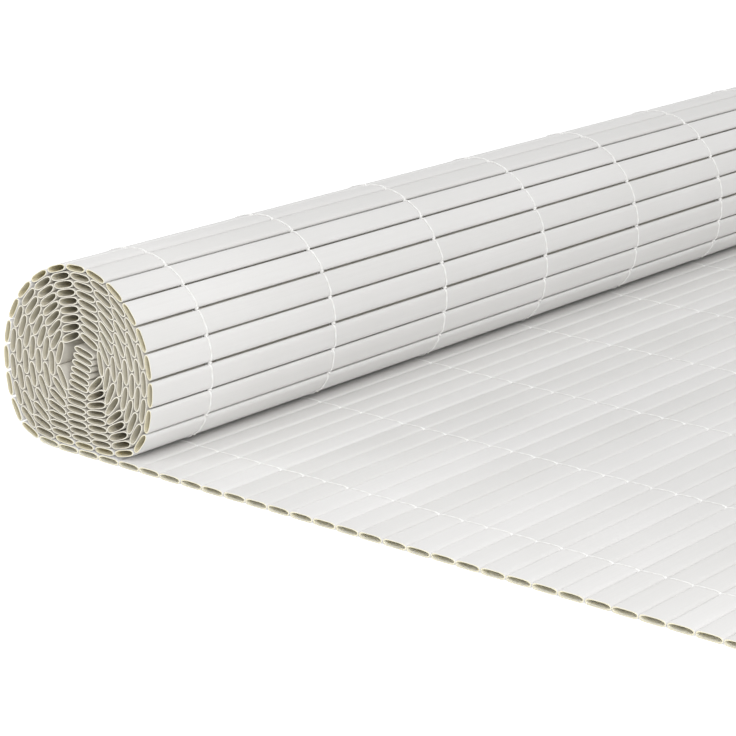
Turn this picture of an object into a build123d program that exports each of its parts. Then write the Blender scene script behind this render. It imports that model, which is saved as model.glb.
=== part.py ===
"""PVC privacy screen: hollow slats bound side by side with thread, most of them still rolled up.

X runs along the slats, Y along the mat towards its free end, Z up. The mat lies on the ground at Z 0.
"""
from build123d import *
import math
import os

# One slat: an extruded hollow lens with a flat crest and blunt edges
slat_length = 1000.0
slat_width = 15.3
slat_thickness = 4.05
slat_edge = 1.5
slat_crest = 7.5
slat_wall = 0.55
slat_tip = 0.8

# The mat: slats a little apart, with room between the layers of the roll for the thread
slat_gap = 0.9
layer_clearance = 0.5
flat_slats = 51

# The roll, wound on a few slats that are folded back on each other
folded_slats = 5
core_clearance = 0.52
fold_clearance = 0.3
turns = 9
start_angle = -44.2
ground_sag = 6.6
core_lift = 3.0
side_bulge = 7.0
bulge_angle = 47.0
bulge_spread = 24.5
back_bulge = 6.5
back_angle = 95.0
back_spread = 55.0
crown_rise = 5.2
crown_spread = 46.5
ground_angle_back = 38.0
ground_angle_front = 49.0
corner_sharpness = 16

# Binding thread, laid in rows across the slats
row_count = 9
row_inset = 50.0
thread_width = 1.2
thread_thickness = 0.5
thread_clearance = 0.1

slat_pitch = slat_width + slat_gap
layer_step = slat_thickness + layer_clearance
fold_step = slat_thickness + fold_clearance
row_spacing = (slat_length - 2 * row_inset) / (row_count - 1)
full_turn = 2 * math.pi
straight_up = 180.0
search_steps = 40
ground_back = math.radians(ground_angle_back)
ground_front = math.radians(ground_angle_front)


def first_radius():
    """Radius of the innermost joints, so that the first turn clears the slats folded on its first one."""
    stack_height = folded_slats * fold_step + (slat_edge - slat_thickness) / 2
    stack_circle = (stack_height + slat_width ** 2 / (4 * stack_height)) / 2
    return math.hypot(stack_circle + core_clearance + slat_thickness / 2, slat_pitch / 2)


def growth(radius):
    """Share of the way from the first turn, which is 0, to the last, which is 1."""
    return (radius - first_radius()) / (layer_step * turns)


def turn_radius(angle):
    """Radius of the winding: one layer more each turn, and even where the roll lies on the ground."""
    turn, rest = divmod(angle + ground_back, full_turn)
    climb = max(0.0, rest - ground_back - ground_front) / (full_turn - ground_back - ground_front)
    return first_radius() + layer_step * (turn + climb)


def swell(tilt):
    """How far the last turn stands out of a plain spiral: low at both sides, at the back and at the top."""
    from_side = (abs(tilt) - bulge_angle) / bulge_spread
    from_back = math.remainder(tilt + back_angle, 2 * straight_up) / back_spread
    from_top = (abs(tilt) - straight_up) / crown_spread
    low = side_bulge * math.exp(-from_side ** 2)
    return low + back_bulge * math.exp(-from_back ** 2) + crown_rise * math.exp(-from_top ** 2)


def winding_point(angle):
    """Point of the winding (along the mat, up), at an angle from straight down towards the free end."""
    radius = turn_radius(angle)
    lean = math.remainder(angle, full_turn)
    grown = growth(radius)
    reach = radius + grown * swell(math.degrees(lean))
    if math.cos(lean) > 0:
        ground = (radius - ground_sag * grown) / math.cos(lean)
        reach = (reach ** -corner_sharpness + ground ** -corner_sharpness) ** (-1 / corner_sharpness)
    return reach * math.sin(lean), core_lift * (1 - grown) - reach * math.cos(lean)


def next_angle(angle):
    """Angle of the joint that lies one slat pitch further out along the winding."""
    here = winding_point(angle)
    low = angle
    high = angle + full_turn / 2
    for _ in range(search_steps):
        middle = (low + high) / 2
        if math.dist(here, winding_point(middle)) < slat_pitch:
            low = middle
        else:
            high = middle
    return high


def wound_angles():
    """Angles of the joints of the roll, from the core outwards, until the mat meets the ground."""
    angles = [math.radians(start_angle)]
    while angles[-1] < turns * full_turn - ground_back:
        angles.append(next_angle(angles[-1]))
    return angles


def ground_line():
    """Height of the slats that lie on the ground, in the winding's own coordinates."""
    return ground_sag - first_radius() - layer_step * turns


def flat_joints(last_wound):
    """Joints of the free end: one slat steps down to the ground line, and the rest lie level."""
    level = ground_line()
    step = math.sqrt(slat_pitch ** 2 - (level - last_wound[1]) ** 2)
    along = last_wound[0] + step
    return [(along + count * slat_pitch, level) for count in range(flat_slats)]


def between(start, end):
    """Middle and slope of the slat between two joints."""
    slope = math.atan2(end[1] - start[1], end[0] - start[0])
    return (start[0] + end[0]) / 2, (start[1] + end[1]) / 2, slope


def folded_places(bed):
    """Places of the folded slats, stacked on the innermost slat of the winding."""
    along, height, slope = bed
    places = []
    for layer in range(1, folded_slats + 1):
        rise = layer * fold_step
        places.append((along - rise * math.sin(slope), height + rise * math.cos(slope), slope))
    return places


def half_turn(points):
    """The same points turned half round, which is the other half of a slat's section."""
    return [(-along, -height) for along, height in points]


def slat_section():
    """Hollow lens in a few flats: a crest on each face, flanks down to blunt edges, and a pointed hollow."""
    side = slat_width / 2
    crest = slat_crest / 2
    top = slat_thickness / 2
    inner_top = top - slat_wall
    skin = [(-side, slat_edge / 2), (-crest, top), (crest, top), (side, slat_edge / 2)]
    hollow = [(slat_tip - side, 0), (-crest, inner_top), (crest, inner_top)]
    outside = make_face(Polyline(*skin, *half_turn(skin), close=True))
    cavity = make_face(Polyline(*hollow, *half_turn(hollow), close=True))
    return Plane.YZ * (outside - cavity)


def side_line(joints, distance):
    """Line beside a run of joints, parallel to each slat, on the ground side if the distance is positive."""
    line = []
    last = len(joints) - 1
    for index, (along, height) in enumerate(joints):
        before = between(joints[max(index - 1, 0)], joints[max(index, 1)])[2]
        after = between(joints[min(index, last - 1)], joints[min(index + 1, last)])[2]
        turn = math.remainder(after - before, full_turn)
        slope = before + turn / 2
        reach = distance / math.cos(turn / 2)
        line.append((along + reach * math.sin(slope), height - reach * math.cos(slope)))
    return line


def strand(joints, side):
    """Flat strand of thread that lies on the crests of a run of slats, on one side of them."""
    seat = slat_thickness / 2 + thread_clearance
    near = side_line(joints, side * seat)
    far = side_line(joints, side * (seat + thread_thickness))
    outline = Polyline(*near, *reversed(far), close=True)
    return extrude(make_face(Plane.YZ * outline), thread_width / 2, both=True)


def place_slats(slat, places):
    """One slat at each place, as separate solids."""
    return [Pos(0, along, height) * Rot(X=math.degrees(slope)) * slat for along, height, slope in places]


def build_screen():
    """All the pieces, by node name."""
    angles = wound_angles()
    wound = [winding_point(angle) for angle in angles]
    flat = flat_joints(wound[-1])
    slat = extrude(slat_section(), slat_length / 2, both=True)
    nodes = {}

    bed = between(wound[0], wound[1])
    nodes["folded_core_slats"] = place_slats(slat, [bed, *folded_places(bed)])
    by_turn = [[] for _ in range(turns)]
    for angle, start, end in zip(angles[1:], wound[1:], wound[2:]):
        by_turn[int((angle + ground_back) // full_turn)].append(between(start, end))
    for number, places in enumerate(by_turn, start=1):
        nodes[f"turn_{number}_slats"] = place_slats(slat, places)
    ground_run = [wound[-1], *flat]
    nodes["flat_run_slats"] = place_slats(slat, [between(a, b) for a, b in zip(ground_run, flat)])

    outer_start = (turns - 1) * full_turn
    free_height = ground_line() + 2 * layer_step
    outer = [joint for angle, joint in zip(angles, wound) if angle > outer_start and joint[1] > free_height]
    over_roll = strand(outer, 1)
    clear_of_roll = next(joint for joint in flat if joint[0] > outer[0][0])
    over_flat = strand([clear_of_roll, flat[-1]], -1)
    for row in range(row_count):
        across = Pos(X=row_inset + row * row_spacing - slat_length / 2)
        nodes[f"binding_thread_{row + 1}"] = [across * over_roll, across * over_flat]
    return nodes


def main():
    """Build the screen, set it on the ground about the origin and write each node."""
    nodes = build_screen()
    boxes = [solid.bounding_box() for solids in nodes.values() for solid in solids]
    back = min(box.min.Y for box in boxes)
    front = max(box.max.Y for box in boxes)
    ground = min(box.min.Z for box in boxes)
    settle = Pos(0, -(back + front) / 2, -ground)
    os.makedirs("parts", exist_ok=True)
    for name, solids in nodes.items():
        export_step(Compound(children=[settle * solid for solid in solids]), f"parts/{name}.step")


main()
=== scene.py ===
"""Looks of a PVC privacy screen: hollow slats bound side by side with twine, most of them still rolled up.

Metres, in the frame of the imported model: X along the slats, Y along the mat to its free end, Z up.
"""

import logging
import math
import random
from dataclasses import dataclass, field, replace
from enum import IntEnum
from typing import Any, Sequence

import bmesh
import bpy
import numpy as np
from mathutils import Euler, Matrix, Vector


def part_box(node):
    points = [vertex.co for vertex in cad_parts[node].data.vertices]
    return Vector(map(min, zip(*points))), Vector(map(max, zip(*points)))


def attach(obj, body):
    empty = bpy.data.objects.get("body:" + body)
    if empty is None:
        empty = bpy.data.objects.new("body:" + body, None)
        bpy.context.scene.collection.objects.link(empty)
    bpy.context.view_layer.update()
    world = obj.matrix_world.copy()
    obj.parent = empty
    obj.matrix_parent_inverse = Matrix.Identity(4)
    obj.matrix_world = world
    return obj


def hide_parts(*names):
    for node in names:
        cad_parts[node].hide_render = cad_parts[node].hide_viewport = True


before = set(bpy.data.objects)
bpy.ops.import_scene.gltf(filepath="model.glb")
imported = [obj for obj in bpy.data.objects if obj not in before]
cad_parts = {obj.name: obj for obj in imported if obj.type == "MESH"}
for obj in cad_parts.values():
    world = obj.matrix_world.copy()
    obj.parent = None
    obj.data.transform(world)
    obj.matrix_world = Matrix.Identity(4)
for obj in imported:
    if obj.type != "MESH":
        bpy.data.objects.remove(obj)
log = logging.getLogger("privacy_screen")

MM = 0.001
BODY = "root"
GROUND_NODE = "flat_run_slats"
OUTER_NODE = "turn_9_slats"
OPEN_NODES = (OUTER_NODE, GROUND_NODE)

Colour = tuple[float, float, float, float]
# A strand: points of its middle line, each with the half width and half thickness there
Line = list[tuple[Vector, float, float]]

# Grain and roughness of sawn ends and of bores
SAW_GRAIN = 0.6 * MM
SAW_ROUGHNESS = 0.75
BORE_GRAIN = 4 * MM
BORE_ROUGHNESS = 0.6
# Digits of a metre to which the points of one corner agree
WELD_DIGITS = 7
# Sockets of a Mix node for colours, whose names repeat for every type of data
MIX_DARK = 6
MIX_LIGHT = 7
MIX_RESULT = 2
# A Wave node's diagonal bands turn 10 radians a unit, so at this scale a light or a dark band is one unit
BAND_SCALE = math.pi / 10


class Surface(IntEnum):
    """Surfaces of a slat that take a finish of their own, numbered as its material slots are."""

    SKIN = 0
    BORE = 1
    CUT = 2


class Side(IntEnum):
    """Side of the mat that a strand of twine lies on."""

    GROUND = 1
    TOP = -1


def linear(code: str) -> Colour:
    """Turn a colour as it is seen into the linear one that shaders use.

    Args:
        code: sRGB colour as six hex digits.

    Returns:
        Linear red, green, blue and an alpha of 1.
    """
    shown = [int(code[start:start + 2], 16) / 255 for start in (0, 2, 4)]
    red, green, blue = [v / 12.92 if v <= 0.04045 else ((v + 0.055) / 1.055) ** 2.4 for v in shown]
    return red, green, blue, 1.0


def around(count: int) -> list[float]:
    """Angles of points spaced evenly round a circle."""
    return [2 * math.pi * step / count for step in range(count)]


def add_node(tree: bpy.types.NodeTree, kind: str, links: dict[str | int, Any] | None = None,
             sockets: dict[str | int, Any] | None = None, **settings: Any) -> bpy.types.Node:
    """Add a node with its settings and links.

    Args:
        tree: Node tree that takes the node.
        kind: Blender's type name of the node.
        links: Output sockets to link, by the name or number of the input.
        sockets: Values to set, by the name or number of the input.
        settings: Properties of the node itself.

    Returns:
        The new node.
    """
    node = tree.nodes.new(kind)
    for name, value in settings.items():
        setattr(node, name, value)
    for name, value in (sockets or {}).items():
        node.inputs[name].default_value = value
    for name, output in (links or {}).items():
        tree.links.new(output, node.inputs[name])
    return node


def blend(tree: bpy.types.NodeTree, factor: bpy.types.NodeSocket,
          dark: str, light: str) -> bpy.types.NodeSocket:
    """Mix two colours.

    Args:
        tree: Node tree to work in.
        factor: Socket that is 0 for the dark colour and 1 for the light one.
        dark: Dark colour as six hex digits.
        light: Light colour as six hex digits.

    Returns:
        The socket that gives the mixed colour.
    """
    mix = add_node(tree, "ShaderNodeMix", {"Factor": factor},
                   {MIX_DARK: linear(dark), MIX_LIGHT: linear(light)}, data_type="RGBA")
    return mix.outputs[MIX_RESULT]


def new_material(name: str) -> tuple[bpy.types.Material, bpy.types.NodeTree, bpy.types.Node]:
    """Start a material.

    Args:
        name: Name of the material and how its surface was made.

    Returns:
        The material, its node tree and its shader.
    """
    material = bpy.data.materials.new(name)
    material.use_nodes = True
    tree = material.node_tree
    return material, tree, tree.nodes["Principled BSDF"]


@dataclass(frozen=True)
class ExtrudedPvc:
    """Rigid white PVC as it leaves the extruder die."""

    name: str = "rigid_pvc_extruded"
    light: str = "EBEAE9"
    dark: str = "E0DFDD"
    die_line: float = 0.9 * MM
    line_length: float = 240 * MM
    cloud: float = 60 * MM
    ior: float = 1.53
    smooth: float = 0.44
    rough: float = 0.6
    shade_span: tuple[float, float] = (0.7, 2.3)
    line_span: tuple[float, float] = (0.3, 0.7)
    relief: float = 0.05 * MM
    relief_strength: float = 0.12

    def make(self) -> bpy.types.Material:
        """Build the finish.

        Returns:
            The material.
        """
        # A die leaves a satin skin with fine lines along the slat, which break up its highlights
        material, tree, shader = new_material(self.name)
        place = add_node(tree, "ShaderNodeTexCoord").outputs["Object"]
        stretch = add_node(tree, "ShaderNodeMapping", {"Vector": place},
                           {"Scale": (1 / self.line_length, 1 / self.die_line, 1 / self.die_line)})
        lines = add_node(tree, "ShaderNodeTexNoise", {"Vector": stretch.outputs["Vector"]},
                         {"Scale": 1.0, "Detail": 3.0, "Roughness": 0.6})
        clouds = add_node(tree, "ShaderNodeTexNoise", {"Vector": place},
                          {"Scale": 1 / self.cloud, "Detail": 2.0, "Roughness": 0.5})
        tone = add_node(tree, "ShaderNodeAttribute", attribute_name="tone")
        mixed = add_node(tree, "ShaderNodeMath", {0: lines.outputs["Fac"], 1: clouds.outputs["Fac"]},
                         operation="ADD")
        shade = add_node(tree, "ShaderNodeMath", {0: mixed.outputs["Value"], 1: tone.outputs["Fac"]},
                         operation="ADD")
        spread = add_node(tree, "ShaderNodeMapRange", {"Value": shade.outputs["Value"]},
                          {"From Min": self.shade_span[0], "From Max": self.shade_span[1],
                           "To Min": 0.0, "To Max": 1.0})
        colour = blend(tree, spread.outputs["Result"], self.dark, self.light)
        gloss = add_node(tree, "ShaderNodeMapRange", {"Value": lines.outputs["Fac"]},
                         {"From Min": self.line_span[0], "From Max": self.line_span[1],
                          "To Min": self.smooth, "To Max": self.rough})
        relief = add_node(tree, "ShaderNodeBump", {"Height": lines.outputs["Fac"]},
                          {"Strength": self.relief_strength, "Distance": self.relief})
        tree.links.new(colour, shader.inputs["Base Color"])
        tree.links.new(gloss.outputs["Result"], shader.inputs["Roughness"])
        tree.links.new(relief.outputs["Normal"], shader.inputs["Normal"])
        shader.inputs["IOR"].default_value = self.ior
        return material


@dataclass(frozen=True)
class CutPvc:
    """White PVC where a saw or the die's core has left it raw: warmer and duller than the skin."""

    name: str
    light: str
    dark: str
    grain: float
    roughness: float
    ior: float = 1.53
    relief: float = 0.06 * MM
    relief_strength: float = 0.3
    glow: float = 0.0
    glow_depth: float = 1.5 * MM
    glow_tint: tuple[float, float, float] = (1.0, 0.95, 0.75)

    def make(self) -> bpy.types.Material:
        """Build the finish.

        Returns:
            The material.
        """
        # Raw PVC scatters the light, which makes it creamy and matte, and a thin wall lets some of it through
        material, tree, shader = new_material(self.name)
        place = add_node(tree, "ShaderNodeTexCoord").outputs["Object"]
        grain = add_node(tree, "ShaderNodeTexNoise", {"Vector": place},
                         {"Scale": 1 / self.grain, "Detail": 3.0, "Roughness": 0.6})
        colour = blend(tree, grain.outputs["Fac"], self.dark, self.light)
        marks = add_node(tree, "ShaderNodeBump", {"Height": grain.outputs["Fac"]},
                         {"Strength": self.relief_strength, "Distance": self.relief})
        tree.links.new(colour, shader.inputs["Base Color"])
        tree.links.new(marks.outputs["Normal"], shader.inputs["Normal"])
        shader.inputs["Roughness"].default_value = self.roughness
        shader.inputs["IOR"].default_value = self.ior
        shader.inputs["Subsurface Weight"].default_value = self.glow
        shader.inputs["Subsurface Radius"].default_value = self.glow_tint
        shader.inputs["Subsurface Scale"].default_value = self.glow_depth
        return material


@dataclass(frozen=True)
class TwistedTwine:
    """White nylon twine, twisted from two plies."""

    name: str = "nylon_twine_twisted"
    light: str = "FEFEFD"
    dark: str = "F3F2EF"
    band: float = 3.2 * MM
    roughness: float = 0.72
    sheen: float = 0.25
    relief: float = 0.15 * MM
    relief_strength: float = 0.5

    def make(self) -> bpy.types.Material:
        """Build the finish.

        Returns:
            The material.
        """
        # The plies wind round each other, so light and shade alternate in slanting bands, softened by loose
        # fibres. The bands are drawn longer than those of so thin a twine, so that they show.
        material, tree, shader = new_material(self.name)
        run = add_node(tree, "ShaderNodeUVMap", uv_map="twine")
        turns = add_node(tree, "ShaderNodeMapping", {"Vector": run.outputs["UV"]},
                         {"Scale": (1 / self.band, 1.0, 1.0)})
        plies = add_node(tree, "ShaderNodeTexWave", {"Vector": turns.outputs["Vector"]},
                         {"Scale": BAND_SCALE, "Distortion": 0.6, "Detail": 1.0},
                         wave_type="BANDS", bands_direction="DIAGONAL")
        colour = blend(tree, plies.outputs["Fac"], self.dark, self.light)
        bulge = add_node(tree, "ShaderNodeBump", {"Height": plies.outputs["Fac"]},
                         {"Strength": self.relief_strength, "Distance": self.relief})
        tree.links.new(colour, shader.inputs["Base Color"])
        tree.links.new(bulge.outputs["Normal"], shader.inputs["Normal"])
        shader.inputs["Roughness"].default_value = self.roughness
        shader.inputs["Sheen Weight"].default_value = self.sheen
        return material


@dataclass
class Draft:
    """Points and faces of one piece, gathered before they become a mesh."""

    points: list[Sequence[float]] = field(default_factory=list)
    faces: list[tuple[int, ...]] = field(default_factory=list)
    slots: list[int] = field(default_factory=list)
    tones: list[float] = field(default_factory=list)
    runs: list[tuple[float, float]] = field(default_factory=list)

    def ring(self, points: Sequence[Sequence[float]], tone: float = 0.5) -> int:
        """Add a ring of points.

        Args:
            points: The points in order.
            tone: Shade of the stock that they belong to, from 0 to 1.

        Returns:
            Number of the ring's first point.
        """
        first = len(self.points)
        self.points.extend(points)
        self.tones.extend([tone] * len(points))
        return first

    def bridge(self, first: int, second: int, count: int, slot: int = 0) -> None:
        """Close the strip between two rings.

        Args:
            first: First point of the one ring.
            second: First point of the other.
            count: Points in each ring.
            slot: Material slot of the faces.
        """
        for here in range(count):
            after = (here + 1) % count
            self.faces.append((first + here, first + after, second + after, second + here))
            self.slots.append(slot)

    def piece(self, name: str, finishes: Sequence[bpy.types.Material], crease: float) -> bpy.types.Object:
        """Turn the draft into an object in the scene.

        Args:
            name: Name of the piece.
            finishes: Materials, in the order of their slots.
            crease: Angle in degrees from which an edge stays sharp.

        Returns:
            The object.
        """
        mesh = bpy.data.meshes.new(name)
        mesh.from_pydata(self.points, [], self.faces)
        for finish in finishes:
            mesh.materials.append(finish)
        mesh.polygons.foreach_set("material_index", self.slots)
        mesh.polygons.foreach_set("use_smooth", [True] * len(self.faces))
        shade = mesh.attributes.new("tone", "FLOAT", "POINT")
        shade.data.foreach_set("value", self.tones)
        if self.runs:
            layer = mesh.uv_layers.new(name="twine")
            layer.data.foreach_set("uv", [number for pair in self.runs for number in pair])
        shell = bmesh.new()
        shell.from_mesh(mesh)
        bmesh.ops.recalc_face_normals(shell, faces=shell.faces)
        shell.to_mesh(mesh)
        shell.free()
        mesh.set_sharp_from_angle(angle=math.radians(crease))
        mesh.update()
        made = bpy.data.objects.new(name, mesh)
        bpy.context.scene.collection.objects.link(made)
        return made


@dataclass(frozen=True)
class Place:
    """Where one slat lies, in the plane across the slats."""

    node: str
    middle: Vector
    heading: Vector
    thickness: float = 0.0

    @property
    def ground(self) -> Vector:
        """Direction out of the roll, which is down where the mat lies flat."""
        return Vector((self.heading.y, -self.heading.x))

    def at(self, along: float, out: float = 0.0) -> Vector:
        """Point at a distance along the mat and out to its ground side."""
        return self.middle + along * self.heading + out * self.ground


@dataclass
class Mat:
    """The run of slats, read from the CAD solids and put in order from the core to the free end."""

    pitch: float = 16.2 * MM
    shift: float = 0.1 * MM
    tilt: float = 0.6
    seed: int = 41
    chain: list[Place] = field(default_factory=list)

    def read(self, nodes: Sequence[str]) -> None:
        """Read every slat's place and put the slats in order.

        Args:
            nodes: CAD nodes that hold the slats.
        """
        places = [self.place(node, solid) for node in nodes for solid in self.solids(node)]
        self.chain = self.loosened(self.in_order(places))

    @staticmethod
    def solids(node: str) -> list[np.ndarray]:
        """Split a CAD node into its separate solids.

        Args:
            node: Name of the node.

        Returns:
            The corner points of each solid.
        """
        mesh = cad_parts[node].data
        points = np.array([vertex.co[:] for vertex in mesh.vertices])
        corners, welded = np.unique(np.round(points, WELD_DIGITS), axis=0, return_inverse=True)
        faces = [welded.ravel()[list(face.vertices)] for face in mesh.polygons]
        owner = np.arange(len(corners))
        before = None
        while before is None or (owner != before).any():
            before = owner.copy()
            for face in faces:
                owner[face] = owner[face].min()
        return [corners[owner == number] for number in np.unique(owner)]

    @staticmethod
    def place(node: str, corners: np.ndarray) -> Place:
        """Find a slat's place from its corner points.

        Args:
            node: CAD node that the slat belongs to.
            corners: Corner points of its solid.

        Returns:
            Its middle, and the direction of its width.
        """
        section = np.unique(np.round(corners[:, 1:], WELD_DIGITS), axis=0)
        middle = section.mean(axis=0)
        spread = np.cov((section - middle).T)
        slope = math.atan2(2 * spread[0, 1], spread[0, 0] - spread[1, 1]) / 2
        return Place(node, Vector(middle), Vector((math.cos(slope), math.sin(slope))))

    def in_order(self, places: list[Place]) -> list[Place]:
        """Follow the mat from its free end inwards, from each slat to the one whose edge is nearest.

        Args:
            places: The slats' places in any order.

        Returns:
            The places from the core outwards, each heading to the free end.
        """
        left = list(places)
        chain = [max(left, key=lambda place: place.middle.x)]
        left.remove(chain[0])
        while left:
            edge = chain[-1].at(-self.pitch / 2)
            ways = [(slat, way) for slat in left for way in (1, -1)]
            slat, way = min(ways, key=lambda pair: (pair[0].at(pair[1] * self.pitch / 2) - edge).length)
            left.remove(slat)
            chain.append(replace(slat, heading=way * slat.heading))
        return chain[::-1]

    def loosened(self, chain: list[Place]) -> list[Place]:
        """Let each slat sit a little off its exact place, as the twine allows.

        Args:
            chain: The exact places.

        Returns:
            The places as they are shown.
        """
        draw = random.Random(self.seed)
        loose = []
        for slat in chain:
            turn = math.radians(draw.uniform(-self.tilt, self.tilt))
            cos, sin = math.cos(turn), math.sin(turn)
            heading = Vector((cos * slat.heading.x - sin * slat.heading.y,
                              sin * slat.heading.x + cos * slat.heading.y))
            middle = slat.at(draw.uniform(-self.shift, self.shift))
            loose.append(replace(slat, middle=middle, heading=heading))
        return loose

    def joint(self, number: int) -> Vector:
        """Find the point between two slats where the strands cross.

        Args:
            number: 0 at the core's end, and the count of slats at the free end.

        Returns:
            The point, half a pitch from the slats on both sides of it.
        """
        ends = []
        if number > 0:
            ends.append(self.chain[number - 1].at(self.pitch / 2))
        if number < len(self.chain):
            ends.append(self.chain[number].at(-self.pitch / 2))
        return sum(ends, Vector((0.0, 0.0))) / len(ends)


@dataclass
class Slats:
    """Hollow lens-shaped slats, sawn to length, one piece for each CAD node."""

    mat: Mat
    length: float = 1000 * MM
    width: float = 15.9 * MM
    open_width: float = 15.0 * MM
    ground_thickness: float = 4.1 * MM
    outer_thickness: float = 4.3 * MM
    least_thickness: float = 3.9 * MM
    most_thickness: float = 5.2 * MM
    layer_gap: float = 0.08 * MM
    fullness: float = 4.2
    ground_fullness: float = 6.5
    wall: float = 0.5 * MM
    tip_wall: float = 0.7 * MM
    bore_fullness: float = 3.2
    burr: float = 0.12 * MM
    saw_play: float = 0.2 * MM
    bow: float = 0.12 * MM
    sway_to_lift: float = 3.0
    sections: int = 7
    outline_steps: int = 32
    fit_steps: int = 25
    fit_share: float = 0.95
    joined_reach: float = 1.1
    level_share: float = 0.25
    seed: int = 7
    crease: float = 50.0

    def half_width(self, slat: Place) -> float:
        """Half the width that a slat shows: less round the outside of the roll, where the gaps show open."""
        return (self.open_width if slat.node == OUTER_NODE else self.width) / 2

    def flatness(self, slat: Place) -> float:
        """Fullness of a slat's skin: flatter faces on the free run than in the roll."""
        return self.ground_fullness if slat.node == GROUND_NODE else self.fullness

    def height(self, slat: Place, along: float) -> float:
        """Half thickness of a slat at a distance from its middle."""
        reach = min(abs(along) / self.half_width(slat), 1.0)
        return slat.thickness / 2 * math.sqrt(1 - reach ** self.flatness(slat))

    def most(self, slat: Place) -> float:
        """The greatest thickness that a slat may show."""
        limits = {GROUND_NODE: self.ground_thickness, OUTER_NODE: self.outer_thickness}
        return limits.get(slat.node, self.most_thickness)

    def fit(self) -> None:
        """Give each slat the thickness that the layers on both sides of it leave room for."""
        chain = self.mat.chain
        half = self.width / 2
        steps = np.linspace(-self.fit_share, self.fit_share, self.fit_steps)
        profile = np.sqrt(1 - np.abs(steps) ** self.fullness)
        middles = np.array([slat.middle[:] for slat in chain])
        headings = np.array([slat.heading[:] for slat in chain])
        samples = middles[:, None] + half * steps[:, None] * headings[:, None]
        fitted = []
        for slat in chain:
            heading = np.array(slat.heading)
            apart = samples - np.array(slat.middle)
            reach = np.abs(apart @ heading) / half
            out = np.abs(apart @ np.array(slat.ground))
            # The next slats of the mat lie beside this one and take no room from it
            offsets = middles - np.array(slat.middle)
            beside = np.abs(offsets @ heading) > self.mat.pitch / 2
            joined = np.linalg.norm(offsets, axis=1) < self.joined_reach * self.mat.pitch
            level = out.min(axis=1) < self.level_share * self.width
            over = (reach < 1) & (out > self.wall) & ~(beside & joined & level)[:, None]
            own = np.sqrt(1 - np.minimum(reach, 1) ** self.fullness)
            room = float((2 * out / (own + profile))[over].min(initial=self.most(slat) + self.layer_gap))
            thickness = max(self.least_thickness, min(self.most(slat), room - self.layer_gap))
            fitted.append(replace(slat, thickness=thickness))
        self.mat.chain = fitted

    def outline(self, half: float, top: float, fullness: float) -> list[tuple[float, float]]:
        """Draw a flattened oval.

        Args:
            half: Half the width.
            top: Half the thickness at the middle.
            fullness: 2 for an ellipse, more for flatter faces and blunter edges.

        Returns:
            Points round it, along the width and over the middle plane.
        """
        points = []
        for turn in around(self.outline_steps):
            along = half * abs(math.cos(turn)) ** (2 / fullness)
            points.append((math.copysign(along, math.cos(turn)), top * math.sin(turn)))
        return points

    def add_slat(self, draft: Draft, slat: Place, draw: random.Random) -> None:
        """Add one slat to a draft.

        Args:
            draft: The draft that takes it.
            slat: Its place.
            draw: Source of its small irregularities.
        """
        ends = [sign * self.length / 2 + draw.uniform(-self.saw_play, self.saw_play) for sign in (-1, 1)]
        sway = draw.uniform(-self.bow, self.bow)
        lift = draw.uniform(-self.bow, self.bow) / self.sway_to_lift
        tone = draw.random()
        half, top = self.half_width(slat), slat.thickness / 2
        fullness = self.flatness(slat)
        full = self.outline(half, top, fullness)
        broken = self.outline(half - self.burr, top - self.burr, fullness)
        bore = self.outline(half - self.tip_wall, top - self.wall, self.bore_fullness)
        inner = np.linspace(ends[0], ends[1], self.sections).tolist()
        stations = [(ends[0], broken), (ends[0] + self.burr, full), *((x, full) for x in inner[1:-1]),
                    (ends[1] - self.burr, full), (ends[1], broken)]

        def ring_at(across: float, section: list[tuple[float, float]]) -> int:
            """Lay a section at a distance along the slat."""
            belly = 1 - (2 * across / self.length) ** 2
            spots = [slat.at(along + belly * sway, belly * lift - out) for along, out in section]
            return draft.ring([(across, spot.x, spot.y) for spot in spots], tone)

        count = len(full)
        outer = [ring_at(across, section) for across, section in stations]
        core = [ring_at(across, bore) for across in inner]
        for first, second in zip(outer, outer[1:]):
            draft.bridge(first, second, count, Surface.SKIN)
        for first, second in zip(core, core[1:]):
            draft.bridge(second, first, count, Surface.BORE)
        draft.bridge(core[0], outer[0], count, Surface.CUT)
        draft.bridge(outer[-1], core[-1], count, Surface.CUT)

    def build(self, inner: Sequence[bpy.types.Material],
              dresses: dict[str, Sequence[bpy.types.Material]]) -> list[bpy.types.Object]:
        """Build and dress the slats of every CAD node.

        Args:
            inner: Materials of the covered slats, in the order of Surface, with painted shade on their skin
                and bore.
            dresses: Materials of the slats that lie open to the light, by CAD node.

        Returns:
            The pieces.
        """
        draw = random.Random(self.seed)
        drafts: dict[str, Draft] = {}
        for slat in self.mat.chain:
            self.add_slat(drafts.setdefault(slat.node, Draft()), slat, draw)
        made = []
        for node, draft in drafts.items():
            piece = draft.piece(f"{node}_extruded", dresses.get(node, inner), self.crease)
            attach(piece, BODY)
            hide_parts(node)
            made.append(piece)
        return made


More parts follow.
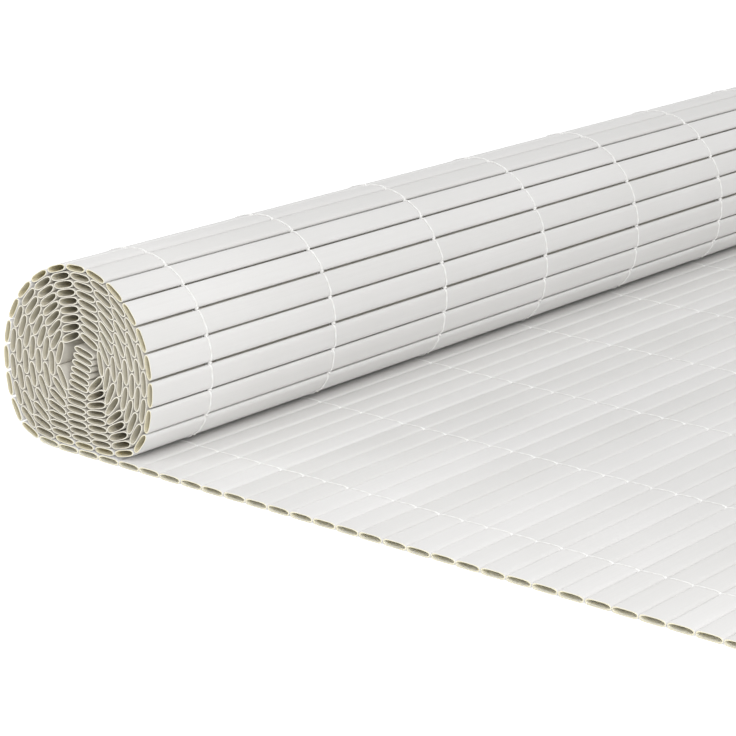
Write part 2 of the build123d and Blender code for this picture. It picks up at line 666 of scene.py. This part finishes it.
@dataclass
class Binding:
    """Rows of twine: two strands that pass over and under the slats by turns and cross in every gap."""

    mat: Mat
    slats: Slats
    wide: float = 0.68 * MM
    thick: float = 0.34 * MM
    laid: float = 0.18 * MM
    pressed: float = 0.1 * MM
    grounded: float = 0.05 * MM
    cross_wide: float = 0.4 * MM
    cross_thick: float = 0.42 * MM
    spread: float = 0.42 * MM
    knot: tuple[float, float, float] = (1.1 * MM, 0.8 * MM, 1.95 * MM)
    knot_rise: float = 0.3 * MM
    knot_rounds: int = 6
    wander: float = 0.35 * MM
    fine_sides: int = 8
    plain_sides: int = 6
    seed: int = 23
    # Points of a strand on a slat, in millimetres from its middle
    fine_steps: tuple[float, ...] = (-7.55, -7.1, -5.6, -3.6, -1.2, 1.2, 3.6, 5.6, 7.1, 7.55)
    plain_steps: tuple[float, ...] = (-7.3, -4.0, 0.0, 4.0, 7.3)
    crease: float = 80.0

    def seat(self, slat: Place, side: Side) -> float:
        """Half the thickness of a strand where it lies on a slat.

        Args:
            slat: The slat.
            side: The side that the strand is on.

        Returns:
            Half the thickness: least where the mat lies on it.
        """
        if slat.node == GROUND_NODE:
            return self.grounded if side is Side.GROUND else self.laid
        if slat.node == OUTER_NODE and side is Side.GROUND:
            return self.thick
        return self.pressed

    def strand(self, across: float, first_side: Side, fine: bool, sway: list[float]) -> Line:
        """Lead one strand along the mat.

        Args:
            across: Place of the row along the slats.
            first_side: Side of the first slat that it passes.
            fine: Whether to lead it along the visible slats or along the covered ones.
            sway: How far the row strays at each joint.

        Returns:
            Points of its middle line, each with the half width and half thickness there.
        """
        line = []
        steps = self.fine_steps if fine else self.plain_steps
        shown = [slat.node in OPEN_NODES for slat in self.mat.chain]
        begin = shown.index(True)
        numbers = range(begin, len(shown)) if fine else range(begin)
        for number in numbers:
            slat = self.mat.chain[number]
            side = Side.GROUND if (number % 2 == 0) == (first_side is Side.GROUND) else Side.TOP
            start = self.mat.joint(number)
            line.append((Vector((across + sway[number] - side * self.spread, *start)),
                         self.cross_wide, self.cross_thick))
            half_thick = self.seat(slat, side)
            for step in steps:
                along = step * MM
                share = along / self.mat.pitch + 0.5
                drift = (1 - share) * sway[number] + share * sway[number + 1]
                slant = side * self.spread * (2 * share - 1)
                spot = slat.at(along, side * (self.slats.height(slat, along) + half_thick))
                line.append((Vector((across + drift + slant, *spot)), self.wide, half_thick))
        end = self.mat.joint(numbers[-1] + 1)
        line.append((Vector((across + sway[numbers[-1] + 1] + side * self.spread, *end)),
                     self.cross_wide, self.cross_thick))
        return line

    def add_tube(self, draft: Draft, line: Line, sides: int) -> None:
        """Lay a flattened tube along a line.

        Args:
            draft: The draft that takes it.
            line: Points, each with the half width and half thickness there.
            sides: Faces round the tube.
        """
        points = [point for point, _, _ in line]
        turns = around(sides)
        run = 0.0
        rings = []
        for index, (point, wide, thick) in enumerate(line):
            ahead = points[min(index + 1, len(points) - 1)] - points[max(index - 1, 0)]
            ahead.normalize()
            flat = Vector((1.0, 0.0, 0.0)) - ahead.x * ahead
            flat.normalize()
            up = ahead.cross(flat)
            ring = [point + wide * math.cos(turn) * flat + thick * math.sin(turn) * up for turn in turns]
            if index:
                run += (point - points[index - 1]).length
            rings.append((draft.ring([spot[:] for spot in ring]), run))
        self.close_tube(draft, rings, sides)

    @staticmethod
    def close_tube(draft: Draft, rings: list[tuple[int, float]], sides: int) -> None:
        """Join rings to a closed tube that knows how far each ring is along it.

        Args:
            draft: The draft that takes it.
            rings: First point of each ring, and its distance along the tube.
            sides: Points in each ring.
        """
        for (first, first_run), (second, second_run) in zip(rings, rings[1:]):
            draft.bridge(first, second, sides)
            for side in range(sides):
                low, high = side / sides, (side + 1) / sides
                draft.runs.extend([(first_run, low), (first_run, high)])
                draft.runs.extend([(second_run, high), (second_run, low)])
        for first, at in (rings[0], rings[-1]):
            draft.faces.append(tuple(range(first, first + sides)))
            draft.slots.append(0)
            draft.runs.extend([(at, side / sides) for side in range(sides)])

    def add_knot(self, draft: Draft, across: float, number: int) -> None:
        """Add the knot that the strands make in one gap.

        Args:
            draft: The draft that takes it.
            across: Place of the knot along the slats.
            number: Number of the joint.
        """
        slat = self.mat.chain[min(number, len(self.mat.chain) - 1)]
        side = Side.TOP if slat.node == GROUND_NODE else Side.GROUND
        middle = self.mat.joint(number) + side * self.knot_rise * slat.ground
        long, thin, high = self.knot
        sides = self.fine_sides
        rings = []
        for step in range(1, self.knot_rounds):
            lean = math.pi * step / self.knot_rounds
            reach, girth = -long * math.cos(lean), math.sin(lean)
            spots = []
            for turn in around(sides):
                swell = thin * math.cos(turn) * slat.heading + high * math.sin(turn) * slat.ground
                spots.append(middle + girth * swell)
            rings.append((draft.ring([(across + reach, spot.x, spot.y) for spot in spots]), reach))
        self.close_tube(draft, rings, sides)

    def build_row(self, node: str, finish: bpy.types.Material, draw: random.Random) -> bpy.types.Object:
        """Build and dress one row.

        Args:
            node: CAD node of the row.
            finish: The twine's material.
            draw: Source of the row's small irregularities.

        Returns:
            The piece.
        """
        low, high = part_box(node)
        across = (low[0] + high[0]) / 2
        sway = [draw.uniform(-self.wander, self.wander) for _ in range(len(self.mat.chain) + 1)]
        draft = Draft()
        for first_side in Side:
            self.add_tube(draft, self.strand(across, first_side, False, sway), self.plain_sides)
            self.add_tube(draft, self.strand(across, first_side, True, sway), self.fine_sides)
        for number, slat in enumerate(self.mat.chain):
            if slat.node in OPEN_NODES:
                self.add_knot(draft, across + sway[number], number)
        piece = draft.piece(f"{node}_twine", [finish], self.crease)
        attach(piece, BODY)
        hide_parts(node)
        return piece

    def build(self, nodes: Sequence[str], finish: bpy.types.Material) -> list[bpy.types.Object]:
        """Build all the rows.

        Args:
            nodes: CAD nodes of the rows.
            finish: The twine's material.

        Returns:
            The pieces.
        """
        draw = random.Random(self.seed)
        return [self.build_row(node, finish, draw) for node in nodes]


@dataclass(frozen=True)
class Lamp:
    """A soft box that looks at a point, and may be kept out of reflections."""

    name: str
    place: tuple[float, float, float]
    target: tuple[float, float, float]
    size: float
    power: float
    glints: bool = True

    def hang(self) -> None:
        """Hang the lamp."""
        light = bpy.data.lights.new(self.name, "AREA")
        light.shape = "SQUARE"
        light.size = self.size
        light.energy = self.power
        lamp = bpy.data.objects.new(self.name, light)
        lamp.visible_glossy = self.glints
        lamp.location = self.place
        lamp.rotation_euler = (Vector(self.target) - Vector(self.place)).to_track_quat("-Z", "Y").to_euler()
        bpy.context.scene.collection.objects.link(lamp)


@dataclass
class Studio:
    """White sweep, soft light and the camera."""

    floor_size: float = 12.0
    floor_colour: str = "F4F4F3"
    floor_roughness: float = 0.95
    floor_lift: float = 0.58
    floor_level: float = -0.15 * MM
    ambient: float = 0.49
    lens: float = 126.58
    sensor: float = 36.0
    camera_place: tuple[float, float, float] = (1.5145, 0.6579, 0.4871)
    camera_turn: tuple[float, float, float] = (73.221, -0.742, 128.785)
    lamps: tuple[Lamp, ...] = (
        Lamp("front_soft_box", (1.9, 1.7, 2.0), (0.0, -0.1, 0.0), 1.4, 50.5),
        Lamp("top_soft_box", (-0.3, -0.4, 2.6), (0.0, -0.1, 0.0), 2.2, 8.0),
        Lamp("end_soft_box", (2.2, -1.6, 0.35), (0.4, -0.35, 0.05), 0.6, 10.0, glints=False),
    )

    def shown_rays(self, tree: bpy.types.NodeTree) -> bpy.types.NodeSocket:
        """Tell the rays that show the background from those that light the object.

        Args:
            tree: Node tree to work in.

        Returns:
            A socket that is 1 for camera, glossy and transmission rays.
        """
        path = add_node(tree, "ShaderNodeLightPath")
        seen = add_node(tree, "ShaderNodeMath",
                        {0: path.outputs["Is Camera Ray"], 1: path.outputs["Is Glossy Ray"]},
                        operation="MAXIMUM")
        return add_node(tree, "ShaderNodeMath",
                        {0: seen.outputs["Value"], 1: path.outputs["Is Transmission Ray"]},
                        operation="MAXIMUM").outputs["Value"]

    def lay_floor(self) -> None:
        """Lay the floor, which isn't part of the object."""
        material, tree, shader = new_material("paper_sweep_matte")
        shader.inputs["Base Color"].default_value = linear(self.floor_colour)
        shader.inputs["Roughness"].default_value = self.floor_roughness
        shader.inputs["Specular IOR Level"].default_value = 0.0
        lift = add_node(tree, "ShaderNodeMath", {0: self.shown_rays(tree)}, {1: self.floor_lift},
                        operation="MULTIPLY")
        shader.inputs["Emission Color"].default_value = linear("FFFFFF")
        tree.links.new(lift.outputs["Value"], shader.inputs["Emission Strength"])
        mesh = bpy.data.meshes.new("sweep")
        reach = self.floor_size / 2
        corners = [(-reach, -reach), (reach, -reach), (reach, reach), (-reach, reach)]
        mesh.from_pydata([(*corner, self.floor_level) for corner in corners], [], [(0, 1, 2, 3)])
        mesh.materials.append(material)
        floor = bpy.data.objects.new("sweep", mesh)
        bpy.context.scene.collection.objects.link(floor)

    def light(self) -> None:
        """Light the scene evenly, with a white background."""
        world = bpy.data.worlds.new("white_room")
        world.use_nodes = True
        tree = world.node_tree
        white = tree.nodes["Background"]
        white.inputs["Color"].default_value = linear("FFFFFF")
        level = add_node(tree, "ShaderNodeMapRange", {"Value": self.shown_rays(tree)},
                         {"From Min": 0.0, "From Max": 1.0, "To Min": self.ambient, "To Max": 1.0})
        tree.links.new(level.outputs["Result"], white.inputs["Strength"])
        bpy.context.scene.world = world
        for lamp in self.lamps:
            lamp.hang()

    def set_camera(self) -> None:
        """Set the camera where the photographer stood."""
        data = bpy.data.cameras.new("camera")
        data.lens = self.lens
        data.sensor_width = self.sensor
        camera = bpy.data.objects.new("camera", data)
        camera.location = self.camera_place
        camera.rotation_euler = Euler([math.radians(turn) for turn in self.camera_turn])
        bpy.context.scene.collection.objects.link(camera)
        bpy.context.scene.camera = camera

    def build(self) -> None:
        """Set up the floor, the light and the camera."""
        self.lay_floor()
        self.light()
        self.set_camera()
        bpy.context.scene.view_settings.view_transform = "Standard"


def covered_dress() -> tuple[bpy.types.Material, ...]:
    """Make the finishes of the slats that other turns cover, with painted shade on their skin and bore.

    Returns:
        Materials in the order of Surface.
    """
    # Painted shade: the skin is darker than the open one, so that the narrow spaces between the turns read
    # dark
    skin = ExtrudedPvc("rigid_pvc_extruded_painted_shade", "D2CEC5", "C6C2B8").make()
    # Painted shade: the covered turns' bore is darker than the bores of the open slats
    bore = CutPvc("rigid_pvc_bore", "DFDACC", "D2CDBD", BORE_GRAIN, BORE_ROUGHNESS, glow=0.2).make()
    sawn = CutPvc("rigid_pvc_sawn", "FAF7EC", "F0EBDB", SAW_GRAIN, SAW_ROUGHNESS).make()
    return skin, bore, sawn


def open_dresses() -> dict[str, tuple[bpy.types.Material, ...]]:
    """Make the finishes of the slats that lie open to the light.

    Returns:
        Materials in the order of Surface, by CAD node.
    """
    skin = ExtrudedPvc().make()
    # The cut ends of the open slats look yellower than those in the roll
    sawn = CutPvc("rigid_pvc_sawn_yellowed", "FAF5DF", "F2EBCC", SAW_GRAIN, SAW_ROUGHNESS).make()
    # Painted shade: the outer turn's bore is darker than the free run's, and it is also yellower
    outer = CutPvc("rigid_pvc_bore_yellowed_painted_shade", "E8E2CE", "DCD5BF", BORE_GRAIN, BORE_ROUGHNESS, glow=0.4).make()
    # Painted light: the free run's bore is lighter than the others, for the light that its thin wall lets
    # through, on top of the glow that the shader scatters through it
    ground = CutPvc("rigid_pvc_bore_painted_light", "F8F5E8", "F1EDDD", BORE_GRAIN, BORE_ROUGHNESS, glow=0.3).make()
    return {OUTER_NODE: (skin, outer, sawn), GROUND_NODE: (skin, ground, sawn)}


def main() -> None:
    """Build the screen and the studio."""
    logging.basicConfig(level=logging.INFO, format="%(message)s")
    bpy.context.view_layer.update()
    nodes = list(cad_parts)
    slat_nodes = [node for node in nodes if node.endswith("_slats")]
    row_nodes = [node for node in nodes if node.startswith("binding_thread")]
    mat = Mat()
    mat.read(slat_nodes)
    log.info("mat: %d slats in order", len(mat.chain))
    slats = Slats(mat)
    slats.fit()
    pieces = slats.build(covered_dress(), open_dresses())
    pieces += Binding(mat, slats).build(row_nodes, TwistedTwine().make())
    for piece in pieces:
        log.info("piece %s: %d faces", piece.name, len(piece.data.polygons))
    Studio().build()
    bpy.context.view_layer.update()


if __name__ == "__main__":
    main()
